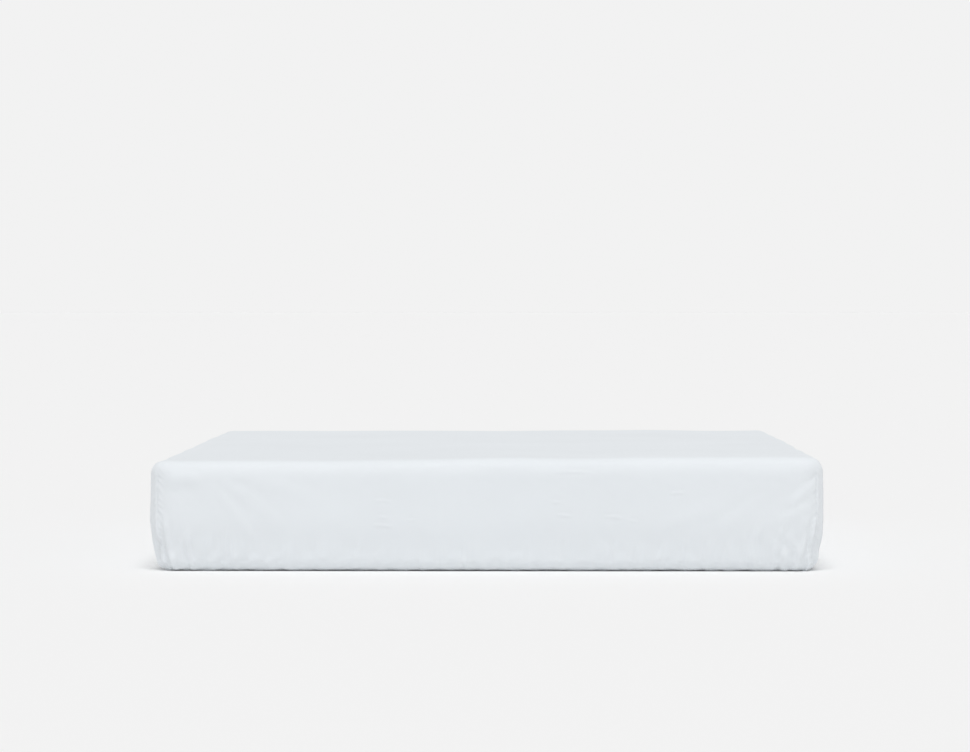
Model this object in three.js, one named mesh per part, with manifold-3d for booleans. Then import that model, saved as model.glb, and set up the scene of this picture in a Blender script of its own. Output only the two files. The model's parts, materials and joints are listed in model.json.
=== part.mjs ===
// A queen-size memory foam mattress dressed in a fitted sheet.
// Millimetres, +Z up. The origin is the middle of the underside, +X is the sleeper's
// right-hand side seen from the foot, and +Y runs from the foot end to the head end.
//
// The foam is three bonded layers. A fire-barrier sock holds them, and a zipped cover goes
// over the sock: a top panel, a side band that turns under the mattress, and a bottom panel.
// The zip runs round the underside. The fitted sheet goes over the cover, and its elastic
// hem grips the underside.

import * as THREE from "three";
import { mergeVertices } from "three/addons/utils/BufferGeometryUtils.js";
import Module from "manifold-3d";

const wasm = await Module();
wasm.setup();

// ---------------------------------------------------------------- driving dimensions

const WIDTH = 1524;
const LENGTH = 2032;
const HEIGHT = 254;
const CORNER_RADIUS = 65; // of the outline, seen from above
const SHOULDER = 40; // the top edge is rounded over this width and height
const BOTTOM_ROUND = 32; // and the bottom edge over this
const SMALLEST_RADIUS = 12; // of any outline's corner
const GAP = 0.3; // between two pieces that touch

const SHEET = 0.8;
const SHEET_LIFT = 0.5; // the bottom panel takes the weight, so the hem is just clear
const HEM_INSET = 84; // from the mattress's side to the sheet's inner edge
const HEM_WIDTH = 14;
const HEM_CENTRE = 164; // the hem's corners turn about a point this far in from both sides
const ELASTIC = 0.8;
const ELASTIC_MARGIN = 2; // from the edge of the folded hem to the elastic in it
const SEAM = 0.4; // a seam allowance or a label
const SEAM_MARGIN = 10; // a seam allowance ends this far from the rounded edges

const TOP_PANEL = 6;
const SIDE_BAND = 4;
const BOTTOM_PANEL = 2.5;
const BAND_TOP = HEIGHT - 50; // where the side band meets the top panel
const SOCK = 1;
const SCRIM_INSET = 150; // from the mattress's side to the scrim's edge
const DISH = 30; // the underside slopes down over this width, inside the zip
const DISH_MARGIN = 2; // the support foam starts to slope this far inside the scrim's edge
const MEMORY_FOAM = 60;
const TRANSITION_FOAM = 50;

const CHANNEL_WIDTH = 10; // air channels across the transition layer
const CHANNEL_DEPTH = 12;
const CHANNEL_PITCH = 80;

const ZIP_INSET = 114; // from the mattress's side to the middle of the zip
const ZIP_RADIUS = 60; // of the zip's corners
const ZIP_Z = 6;
const COIL_RADIUS = 1;
const COIL_OFFSET = 1.7; // from the middle of the zip to the middle of one coil
const TAPE = 0.6;
const TAPE_EDGE = 13.5; // from the middle of the zip to the tape's sewn edge

const SLIDER_LENGTH = 12;
const SLIDER_WIDTH = 8.8;
const SLIDER_NOSE = 5.2; // its width at the end that faces the closed chain
const SLIDER_CORNER = 1;
const SLIDER_PARK_X = 560;
const PLATE = 0.8; // the thickness of the slider's and the stops' plates
const PLATE_REACH = 1.3; // from the middle of the chain's height to a plate's inner face
const FLANGE = 0.8; // the rims that keep the coils between the slider's plates
const POST = 0.8; // thinner than the space between the coils
const POST_LENGTH = 3;
const BAIL_REACH = 4.2; // half the bail's length
const BAIL_WIDTH = 1.6;
const BAIL_ROD = 0.9;
const PIVOT_DROP = 1; // from the outer plate down to the pull tab's hinge axis
const TAB_LENGTH = 30; // from the hinge axis to the pull tab's far end
const TAB_WIDTH = 7.6;
const TAB_NECK = 5.6; // its width beside the eye
const TAB_TAPER = 3; // the length over which it widens
const TAB_HALF = 0.6; // half its thickness, and half that of the bar across its eye
const EYE_LENGTH = 5.4;
const EYE_WIDTH = 2.6;
const GRIP_HOLE = 1.8; // the radius of the hole at the pull tab's far end
const GRIP_HOLE_INSET = 5.5;
const STOP_LENGTH = 3.5;
const STOP_WIDTH = 6;
const STOP_CLEARANCE = 1; // from the parked slider to the end stop
const STOP_PITCH = 6; // from the end stop to the start stop, across the ends of the chain

const LABEL_WIDTH = 60;
const LABEL_HEIGHT = 90;
const LABEL_X = 300;
const LABEL_Z = 70;

// ---------------------------------------------------------------- materials

const material = (color, roughness, metalness = 0) =>
  new THREE.MeshStandardMaterial({ color, roughness, metalness });

const cotton = material("#e9edf0", 0.9);
const elasticWeb = material("#f2f1ee", 0.8);
const knit = material("#eceae6", 0.9);
const gripCloth = material("#8f959b", 0.9);
const sockKnit = material("#f4f0e2", 0.95);
const memoryFoam = material("#c9dcec", 0.95);
const transitionFoam = material("#f3f3ef", 0.95);
const supportFoam = material("#b9bec4", 0.95);
const zipTape = material("#dcdcda", 0.85);
const zipCoil = material("#e6e6e4", 0.4);
const zincAlloy = material("#a9adb1", 0.35, 1);
const labelWeave = material("#f7f7f5", 0.8);

// ---------------------------------------------------------------- layers

// How deep each face of a layer lies below the outside of the dressed mattress: its outer
// face and its inner face, at the top, at the side and at the underside.
const sheetOuter = { top: 0, side: 0, bottom: SHEET_LIFT };
const sheetInner = { top: SHEET, side: SHEET, bottom: SHEET_LIFT + SHEET };
const elasticLow = sheetInner.bottom + GAP;
const hemTop = elasticLow + ELASTIC + GAP + SHEET; // the sheet folds back over the elastic
const seamGap = SEAM + 2 * GAP; // room for seam allowances and the label
const coverOuter = {
  top: SHEET + GAP,
  side: SHEET + seamGap,
  bottom: hemTop + GAP,
};
const coverInner = {
  top: coverOuter.top + TOP_PANEL,
  side: coverOuter.side + SIDE_BAND,
  bottom: coverOuter.bottom + SIDE_BAND,
};
const sockOuter = {
  top: coverInner.top + GAP,
  side: coverInner.side + GAP,
  bottom: coverInner.bottom + 2 * GAP,
};
const sockInner = {
  top: sockOuter.top + SOCK,
  side: sockOuter.side + SOCK,
  bottom: sockOuter.bottom + SOCK,
};
const foamOuter = {
  top: sockInner.top + GAP,
  side: sockInner.side + GAP,
  bottom: sockInner.bottom + GAP,
};

// The underside's middle is lower than its edges, and it is what the mattress rests on.
const scrimLow = BOTTOM_PANEL + GAP;
const scrimHigh = scrimLow + SOCK;
const foamLow = scrimHigh + GAP;

// ---------------------------------------------------------------- rings and lofts

const CORNER_STEPS = 4; // a corner arc has twice this many straight pieces
const CORNER_STEP = Math.PI / (4 * CORNER_STEPS); // the turn at each of them
const ARC_STEPS = 5;

// A rounded rectangle at height z, inset from the mattress's outline, anticlockwise.
function ring(inset, z, radius = Math.max(CORNER_RADIUS - inset, SMALLEST_RADIUS)) {
  const x = WIDTH / 2 - inset - radius;
  const y = LENGTH / 2 - inset - radius;
  const path = new THREE.Path();
  path.absarc(x, y, radius, 0, Math.PI / 2);
  path.absarc(-x, y, radius, Math.PI / 2, Math.PI);
  path.absarc(-x, -y, radius, Math.PI, 1.5 * Math.PI);
  path.absarc(x, -y, radius, 1.5 * Math.PI, 2 * Math.PI);
  return path.getPoints(CORNER_STEPS).map((p) => new THREE.Vector3(p.x, p.y, z));
}

// A ring beside the zip's middle line. A positive offset is towards the mattress's middle.
const zipRing = (offset, z) => ring(ZIP_INSET + offset, z, ZIP_RADIUS - offset);

// A closed surface through rings that follow one another. The first and last rings are
// capped, or joined to each other when closed is true. On the outside, rings run downwards.
function loft(rings, closed = false) {
  const count = rings[0].length;
  const positions = rings.flatMap((points) => points.flatMap((p) => [p.x, p.y, p.z]));
  const index = [];
  const bands = closed ? rings.length : rings.length - 1;
  for (let i = 0; i < bands; i++) {
    const upper = i * count;
    const lower = ((i + 1) % rings.length) * count;
    for (let j = 0; j < count; j++) {
      const k = (j + 1) % count;
      index.push(upper + j, lower + j, lower + k);
      index.push(upper + j, lower + k, upper + k);
    }
  }
  if (!closed) {
    const last = (rings.length - 1) * count;
    for (let j = 1; j < count - 1; j++) {
      index.push(0, j, j + 1);
      index.push(last, last + j + 1, last + j);
    }
  }
  const geometry = new THREE.BufferGeometry();
  geometry.setAttribute("position", new THREE.Float32BufferAttribute(positions, 3));
  geometry.setIndex(index);
  geometry.computeVertexNormals();
  return geometry;
}

// The side's section at a depth: rings from the top face, round the shoulder, down the
// side and round the bottom edge, kept between two heights.
function section(depth, low = -Infinity, high = Infinity) {
  const shoulder = new THREE.EllipseCurve(
    SHOULDER,
    HEIGHT - SHOULDER,
    SHOULDER - depth.side,
    SHOULDER - depth.top,
    Math.PI / 2,
    Math.PI,
  );
  const foot = new THREE.EllipseCurve(
    BOTTOM_ROUND,
    BOTTOM_ROUND,
    BOTTOM_ROUND - depth.side,
    BOTTOM_ROUND - depth.bottom,
    Math.PI,
    1.5 * Math.PI,
  );
  const points = [...shoulder.getPoints(ARC_STEPS), ...foot.getPoints(ARC_STEPS)];
  const kept = points.filter((p) => p.y > low && p.y < high);
  if (high < HEIGHT - SHOULDER) kept.unshift(new THREE.Vector2(depth.side, high));
  if (low > BOTTOM_ROUND) kept.push(new THREE.Vector2(depth.side, low));
  return kept.map((p) => ring(p.x, p.y));
}

// ---------------------------------------------------------------- booleans

function toSolid(geometry) {
  const bare = geometry.clone();
  bare.deleteAttribute("normal");
  bare.deleteAttribute("uv");
  const merged = mergeVertices(bare);
  return new wasm.Manifold(
    new wasm.Mesh({
      numProp: 3,
      vertProperties: new Float32Array(merged.attributes.position.array),
      triVerts: new Uint32Array(merged.index.array),
    }),
  );
}

function toGeometry(solid) {
  const mesh = solid.getMesh();
  const geometry = new THREE.BufferGeometry();
  geometry.setAttribute("position", new THREE.BufferAttribute(mesh.vertProperties, 3));
  geometry.setIndex(new THREE.BufferAttribute(mesh.triVerts, 1));
  geometry.computeVertexNormals();
  return geometry;
}

const join = (geometries) =>
  toGeometry(geometries.map(toSolid).reduce((all, next) => all.add(next)));

const cut = (geometry, tools) =>
  toGeometry(tools.map(toSolid).reduce((rest, tool) => rest.subtract(tool), toSolid(geometry)));

// A box between two corners.
function block(low, high) {
  const size = high.map((value, i) => value - low[i]);
  const geometry = new THREE.BoxGeometry(...size);
  return geometry.translate(...low.map((value, i) => value + size[i] / 2));
}

// A flat shape given thickness from height low to height high.
function plate(shape, low, high, curveSegments = 12) {
  const geometry = new THREE.ExtrudeGeometry(shape, {
    depth: high - low,
    bevelEnabled: false,
    curveSegments,
  });
  return geometry.translate(0, 0, low);
}

// ---------------------------------------------------------------- the scene graph

const mattress = new THREE.Group();

function add(name, geometry, look, parent = mattress) {
  const mesh = new THREE.Mesh(geometry, look);
  mesh.name = name;
  parent.add(mesh);
  return mesh;
}

// ---------------------------------------------------------------- foam layers

function addFoam() {
  const top = HEIGHT - foamOuter.top;
  const memoryLow = top - MEMORY_FOAM;
  const transitionHigh = memoryLow - GAP;
  const transitionLow = transitionHigh - TRANSITION_FOAM;
  const supportHigh = transitionLow - GAP;
  add("memory_foam_layer", loft(section(foamOuter, memoryLow)), memoryFoam);
  const slab = loft(section(foamOuter, transitionLow, transitionHigh));
  add("transition_foam_layer", cut(slab, airChannels(transitionHigh)), transitionFoam);
  const rim = SCRIM_INSET + DISH_MARGIN;
  const dish = [ring(rim, foamOuter.bottom), ring(rim + DISH, foamLow)];
  const core = [...section(foamOuter, -Infinity, supportHigh), ...dish];
  add("support_foam_core", loft(core), supportFoam);
}

// Grooves across the width, open at both sides, cut down into a layer from its top face.
function airChannels(top) {
  const span = LENGTH - 2 * CORNER_RADIUS;
  const count = Math.floor(span / CHANNEL_PITCH);
  return Array.from({ length: count }, (_, i) => {
    const y = (i - (count - 1) / 2) * CHANNEL_PITCH;
    return block(
      [-WIDTH, y - CHANNEL_WIDTH / 2, top - CHANNEL_DEPTH],
      [WIDTH, y + CHANNEL_WIDTH / 2, top + CHANNEL_DEPTH],
    );
  });
}

// ---------------------------------------------------------------- fire barrier

// The sock covers the top and sides and turns under. A scrim closes its underside.
function addFireBarrier() {
  const low = sockOuter.bottom;
  const high = sockInner.bottom;
  const outside = section(sockOuter);
  const inside = section(sockInner).reverse();
  const mouth = [ring(SCRIM_INSET, low), ring(SCRIM_INSET, high)];
  add("fire_barrier_sock", loft([...outside, ...mouth, ...inside]), sockKnit);
  const edge = SCRIM_INSET + GAP;
  const floor = edge + DISH;
  const scrim = [ring(floor, scrimHigh), ring(edge, high), ring(edge, low), ring(floor, scrimLow)];
  add("fire_barrier_scrim", loft(scrim), sockKnit);
}

// ---------------------------------------------------------------- zipped cover

function addCover() {
  const panelEdge = BAND_TOP + GAP;
  const panelOutside = section(coverOuter, panelEdge);
  const panelInside = section(coverInner, panelEdge).reverse();
  add("cover_top_panel", loft([...panelOutside, ...panelInside]), knit);

  const edge = TAPE_EDGE + GAP;
  const bandOutside = section(coverOuter, -Infinity, BAND_TOP);
  const bandEdge = [zipRing(-edge, coverOuter.bottom), zipRing(-edge, coverInner.bottom)];
  const bandInside = section(coverInner, -Infinity, BAND_TOP).reverse();
  add("cover_side_band", loft([...bandOutside, ...bandEdge, ...bandInside], true), knit);

  const floor = edge + DISH;
  const underside = [
    zipRing(floor, BOTTOM_PANEL),
    zipRing(edge, coverOuter.bottom + BOTTOM_PANEL),
    zipRing(edge, coverOuter.bottom),
    zipRing(floor, 0),
  ];
  add("cover_bottom_panel", loft(underside), gripCloth);
}

// ---------------------------------------------------------------- zip

function addZipChain() {
  for (const [name, side] of [
    ["outer", -1],
    ["inner", 1],
  ]) {
    // Rings go round each section anticlockwise in the plane of offset and height.
    const near = side * (COIL_OFFSET + COIL_RADIUS + GAP);
    const far = side * TAPE_EDGE;
    const [from, to] = [Math.min(near, far), Math.max(near, far)];
    const tape = [
      zipRing(to, ZIP_Z + TAPE / 2),
      zipRing(from, ZIP_Z + TAPE / 2),
      zipRing(from, ZIP_Z - TAPE / 2),
      zipRing(to, ZIP_Z - TAPE / 2),
    ];
    add(`zip_tape_${name}`, loft(tape, true), zipTape);
    const circle = new THREE.EllipseCurve(side * COIL_OFFSET, ZIP_Z, COIL_RADIUS, COIL_RADIUS);
    const coil = circle.getPoints(8).slice(1).map((p) => zipRing(p.x, p.y));
    add(`zip_coil_${name}`, loft(coil, true), zipCoil);
  }
}

// The slider's plates, with the outer one facing down, and the height of the tab's hinge.
const INNER_LOW = ZIP_Z - PLATE_REACH;
const INNER_HIGH = ZIP_Z + PLATE_REACH;
const OUTER_FACE = INNER_LOW - PLATE;
const PIVOT_Z = OUTER_FACE - PIVOT_DROP;

function sliderPlate() {
  const end = SLIDER_LENGTH / 2;
  const side = SLIDER_WIDTH / 2;
  const nose = SLIDER_NOSE / 2;
  const shape = new THREE.Shape();
  shape.moveTo(-end, -nose);
  shape.quadraticCurveTo(-end / 4, -side, 0, -side);
  shape.lineTo(end - SLIDER_CORNER, -side);
  shape.quadraticCurveTo(end, -side, end, SLIDER_CORNER - side);
  shape.lineTo(end, side - SLIDER_CORNER);
  shape.quadraticCurveTo(end, side, end - SLIDER_CORNER, side);
  shape.lineTo(0, side);
  shape.quadraticCurveTo(-end / 4, side, -end, nose);
  shape.closePath();
  return shape;
}

// A square-cornered bridge under the outer plate, which the pull tab's bar goes through.
function bail() {
  const inner = PIVOT_Z - PIVOT_DROP;
  const width = BAIL_WIDTH / 2;
  const foot = (x) =>
    block([x - BAIL_ROD, -width, inner - BAIL_ROD], [x, width, OUTER_FACE + PLATE / 2]);
  return [
    foot(BAIL_REACH),
    foot(BAIL_ROD - BAIL_REACH),
    block([-BAIL_REACH, -width, inner - BAIL_ROD], [BAIL_REACH, width, inner]),
  ];
}

// The rims stop short of the tapes, which run out between them.
function flanges() {
  const end = SLIDER_LENGTH / 2 - SLIDER_CORNER;
  const tapeRoom = TAPE / 2 + GAP;
  return [-1, 1].flatMap((side) => {
    const faces = [side * (SLIDER_WIDTH / 2 - FLANGE), (side * SLIDER_WIDTH) / 2];
    const [near, far] = faces.sort((a, b) => a - b);
    return [
      block([0, near, INNER_LOW - PLATE / 2], [end, far, ZIP_Z - tapeRoom]),
      block([0, near, ZIP_Z + tapeRoom], [end, far, INNER_HIGH + PLATE / 2]),
    ];
  });
}

// A thin wall between two plates, where the coils part.
const post = (low, high) =>
  block([low, -POST / 2, INNER_LOW - PLATE / 2], [high, POST / 2, INNER_HIGH + PLATE / 2]);

// The slider stands round both coils. x runs along the chain.
function sliderBody() {
  const end = SLIDER_LENGTH / 2;
  return join([
    plate(sliderPlate(), INNER_LOW - PLATE, INNER_LOW),
    plate(sliderPlate(), INNER_HIGH, INNER_HIGH + PLATE),
    post(end - POST_LENGTH, end),
    ...flanges(),
    ...bail(),
  ]);
}

// The pull tab lies back over the closed chain. Its bar is on the hinge axis, at x = 0.
function pullTab() {
  const neck = TAB_NECK / 2;
  const side = TAB_WIDTH / 2;
  const shoulder = -EYE_LENGTH - TAB_TAPER;
  const shape = new THREE.Shape();
  shape.moveTo(TAB_HALF, -neck);
  shape.lineTo(TAB_HALF, neck);
  shape.lineTo(-EYE_LENGTH, neck);
  shape.lineTo(shoulder, side);
  shape.lineTo(side - TAB_LENGTH, side);
  shape.absarc(side - TAB_LENGTH, 0, side, Math.PI / 2, 1.5 * Math.PI);
  shape.lineTo(shoulder, -side);
  shape.lineTo(-EYE_LENGTH, -neck);
  shape.closePath();
  const eye = new THREE.Path();
  eye.moveTo(-TAB_HALF, -EYE_WIDTH / 2);
  eye.lineTo(-EYE_LENGTH, -EYE_WIDTH / 2);
  eye.lineTo(-EYE_LENGTH, EYE_WIDTH / 2);
  eye.lineTo(-TAB_HALF, EYE_WIDTH / 2);
  eye.closePath();
  const gripHole = new THREE.Path();
  gripHole.absarc(GRIP_HOLE_INSET - TAB_LENGTH, 0, GRIP_HOLE, 0, 2 * Math.PI, true);
  shape.holes.push(eye, gripHole);
  return plate(shape, -TAB_HALF, TAB_HALF);
}

// A crimped stop: an I-shaped clip that holds both coils.
function stopClip() {
  const side = STOP_WIDTH / 2;
  return join([
    block([0, -side, INNER_LOW - PLATE], [STOP_LENGTH, side, INNER_LOW]),
    block([0, -side, INNER_HIGH], [STOP_LENGTH, side, INNER_HIGH + PLATE]),
    post(0, STOP_LENGTH),
  ]);
}

function addZipHardware() {
  const run = new THREE.Group();
  run.position.set(SLIDER_PARK_X, ZIP_INSET - LENGTH / 2, 0);
  mattress.add(run);
  add("zip_slider", sliderBody(), zincAlloy, run);
  add("zip_pull_tab", pullTab(), zincAlloy, run).position.z = PIVOT_Z;
  const beside = SLIDER_LENGTH / 2 + STOP_CLEARANCE;
  add("zip_end_stop", stopClip(), zincAlloy, run).position.x = beside;
  add("zip_start_stop", stopClip(), zincAlloy, run).position.x = beside + STOP_PITCH;
}

// ---------------------------------------------------------------- label

function addLabel() {
  const face = LENGTH / 2 - SHEET - GAP;
  const low = [LABEL_X, face - SEAM, LABEL_Z];
  const high = [LABEL_X + LABEL_WIDTH, face, LABEL_Z + LABEL_HEIGHT];
  add("cover_care_label", block(low, high), labelWeave);
}

// ---------------------------------------------------------------- fitted sheet

// The hem's corners are wide ones, because its elastic pulls across them.
const hemRing = (inset, z) => ring(inset, z, HEM_CENTRE - inset);

// One cloth: over the top, down the sides and under, then folded back over the elastic.
function addSheet() {
  const foldEdge = HEM_INSET - HEM_WIDTH;
  const hem = [
    hemRing(HEM_INSET, sheetOuter.bottom),
    hemRing(HEM_INSET, hemTop),
    hemRing(foldEdge, hemTop),
    hemRing(foldEdge, hemTop - SHEET),
    hemRing(HEM_INSET - SHEET, hemTop - SHEET),
    hemRing(HEM_INSET - SHEET, sheetInner.bottom),
  ];
  const outside = section(sheetOuter);
  const inside = section(sheetInner).reverse();
  add("fitted_sheet", loft([...outside, ...hem, ...inside]), cotton);
}

// A woven elastic band, lying in the fold of the hem.
function addElastic() {
  const outer = HEM_INSET - HEM_WIDTH + ELASTIC_MARGIN;
  const inner = HEM_INSET - SHEET - GAP;
  const [low, high] = [elasticLow, elasticLow + ELASTIC];
  const band = [
    hemRing(outer, high),
    hemRing(outer, low),
    hemRing(inner, low),
    hemRing(inner, high),
  ];
  add("sheet_elastic", loft(band, true), elasticWeb);
}

// The sewn allowance down each boxed corner, on the inside of the sheet. It follows the
// straight pieces of the corner on both sides of the middle.
function addCornerSeams() {
  const outer = CORNER_RADIUS - SHEET - GAP;
  for (const [name, x, y] of [
    ["foot_left", -1, -1],
    ["foot_right", 1, -1],
    ["head_left", -1, 1],
    ["head_right", 1, 1],
  ]) {
    const middle = Math.atan2(y, x);
    const shape = new THREE.Shape();
    shape.absarc(0, 0, outer, middle - CORNER_STEP, middle + CORNER_STEP);
    shape.absarc(0, 0, outer - SEAM, middle + CORNER_STEP, middle - CORNER_STEP, true);
    shape.closePath();
    const low = BOTTOM_ROUND + SEAM_MARGIN;
    const strip = plate(shape, low, HEIGHT - SHOULDER - SEAM_MARGIN, 1);
    const seam = add(`sheet_corner_seam_${name}`, strip, cotton);
    const [cornerX, cornerY] = [WIDTH / 2 - CORNER_RADIUS, LENGTH / 2 - CORNER_RADIUS];
    seam.position.set(x * cornerX, y * cornerY, 0);
  }
}

addFoam();
addFireBarrier();
addCover();
addZipChain();
addZipHardware();
addLabel();
addSheet();
addElastic();
addCornerSeams();

export default mattress;
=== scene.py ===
"""A queen-size memory foam mattress in a fitted sheet, on a pale studio floor.

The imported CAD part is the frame: every soft piece is built around the boxes of its nodes.
Lengths are in metres, +Z is up, and +Y runs from the foot end to the head end.
"""

import json
import math

import bmesh
import bpy
import numpy as np
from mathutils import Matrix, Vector


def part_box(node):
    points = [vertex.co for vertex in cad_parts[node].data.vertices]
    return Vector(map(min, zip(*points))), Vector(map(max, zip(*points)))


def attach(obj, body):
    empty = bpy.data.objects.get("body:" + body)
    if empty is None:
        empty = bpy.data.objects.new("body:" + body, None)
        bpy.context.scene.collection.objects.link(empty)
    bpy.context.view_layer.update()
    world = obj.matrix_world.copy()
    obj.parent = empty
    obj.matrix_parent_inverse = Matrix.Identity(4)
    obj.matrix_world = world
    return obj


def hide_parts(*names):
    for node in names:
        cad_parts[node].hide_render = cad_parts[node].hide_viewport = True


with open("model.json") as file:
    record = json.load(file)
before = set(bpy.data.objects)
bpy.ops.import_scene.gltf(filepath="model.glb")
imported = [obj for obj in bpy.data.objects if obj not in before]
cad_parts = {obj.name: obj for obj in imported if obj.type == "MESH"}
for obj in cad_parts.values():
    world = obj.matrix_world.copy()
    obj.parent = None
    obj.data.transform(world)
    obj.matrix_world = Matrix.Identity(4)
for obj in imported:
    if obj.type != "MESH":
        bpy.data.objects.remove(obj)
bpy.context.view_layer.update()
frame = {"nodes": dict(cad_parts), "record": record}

# -------- the mattress's sizes

SHEET_LOW, SHEET_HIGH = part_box("fitted_sheet")
HALF_WIDTH, HALF_LENGTH, HEIGHT = SHEET_HIGH

CORNER_RADIUS = 0.065  # of the outline, seen from above
CORNER_X = HALF_WIDTH - CORNER_RADIUS  # the centre of a corner's round
CORNER_Y = HALF_LENGTH - CORNER_RADIUS
SHOULDER = 0.040  # the top edge is rounded over this width and height
BOTTOM_ROUND = 0.032  # and the bottom edge over this
SMALLEST_RADIUS = 0.012
GAP = 0.0003  # between two pieces that touch
HEM_INSET = 0.084  # from the mattress's side to the sheet's inner edge
HEM_WIDTH = 0.014
HEM_FOLD = 0.003  # the height of the cloth that is folded back over the elastic
ELASTIC_MARGINS = (0.002, 0.0011)  # from the elastic to the cloth's cut edge, and to its fold
HEM_CENTRE = 0.164  # the hem's corners turn about a point this far in from both sides
TOP_PANEL = 0.006
SIDE_BAND = 0.004
BOTTOM_PANEL = 0.0025
SOCK = 0.001
SCRIM_INSET = 0.150  # from the mattress's side to the scrim's edge
DISH = 0.030  # the underside slopes down over this width, inside the zip
DISH_MARGIN = 0.002  # the support foam starts to slope this far inside the scrim's edge
CHANNEL_WIDTH = 0.010  # air channels across the transition foam
CHANNEL_DEPTH = 0.012
CHANNEL_PITCH = 0.080
ZIP_INSET = 0.114  # from the mattress's side to the middle of the zip
ZIP_RADIUS = 0.060  # of the zip's corners
ZIP_Z = 0.006
COIL_RADIUS = 0.001
COIL_OFFSET = 0.0017  # from the middle of the zip to the middle of one coil
COIL_PITCH = 0.0020  # from tooth to tooth
COIL_NECK = 0.72  # the radius between two teeth, as a share of the tooth's
TAPE = 0.0006
TAPE_EDGE = 0.0135  # from the middle of the zip to the tape's sewn edge

# Each depth is how far inside the sheet's outside a layer's surface is: on top, at the sides, below.
COVER_DEPTH = (
    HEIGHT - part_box("cover_top_panel")[1].z,
    HALF_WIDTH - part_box("cover_side_band")[1].x,
    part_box("cover_side_band")[0].z,
)
SQUEEZE = 0.0015  # the sheet presses into the cover this far, on its top and sides
PRESSED_DEPTH = (COVER_DEPTH[0] + SQUEEZE, COVER_DEPTH[1] + SQUEEZE, COVER_DEPTH[2])
INNER_DEPTH = (COVER_DEPTH[0] + TOP_PANEL, COVER_DEPTH[1] + SIDE_BAND, COVER_DEPTH[2] + SIDE_BAND)
SOCK_DEPTH = (INNER_DEPTH[0] + GAP, INNER_DEPTH[1] + GAP, INNER_DEPTH[2] + 2 * GAP)
SOCK_INNER = tuple(depth + SOCK for depth in SOCK_DEPTH)
FOAM_DEPTH = tuple(depth + GAP for depth in SOCK_INNER)

SHEET_CELL = 0.014  # the size of the sheet's cells before they are subdivided
LAYER_CELL = 0.040  # and of the cells of the layers under it

# -------- nets of rings and caps


class Side:
    """One side of the mattress. They are numbered anticlockwise from the foot."""

    def __init__(self, number):
        self.axis = number % 2  # the one that the side runs along
        self.sign = -1 if number in (0, 3) else 1
        self.reach = HALF_LENGTH if self.axis else HALF_WIDTH
        self.edge = (HALF_WIDTH if self.axis else HALF_LENGTH) - SHOULDER

    def flat(self, along, depth):
        """The flat cloth's coordinates, a distance down the cloth from the edge of the top."""
        across = self.sign * (self.edge + depth)
        return (across, along) if self.axis else (along, across)

    def at(self, along, z):
        """The flat cloth's coordinates at a height on the side."""
        return self.flat(along, math.pi / 2 * SHOULDER + HEIGHT - SHOULDER - z)

    def flat_row(self, points, depth):
        return np.column_stack(self.flat(points[:, self.axis], np.full(len(points), depth)))


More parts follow.
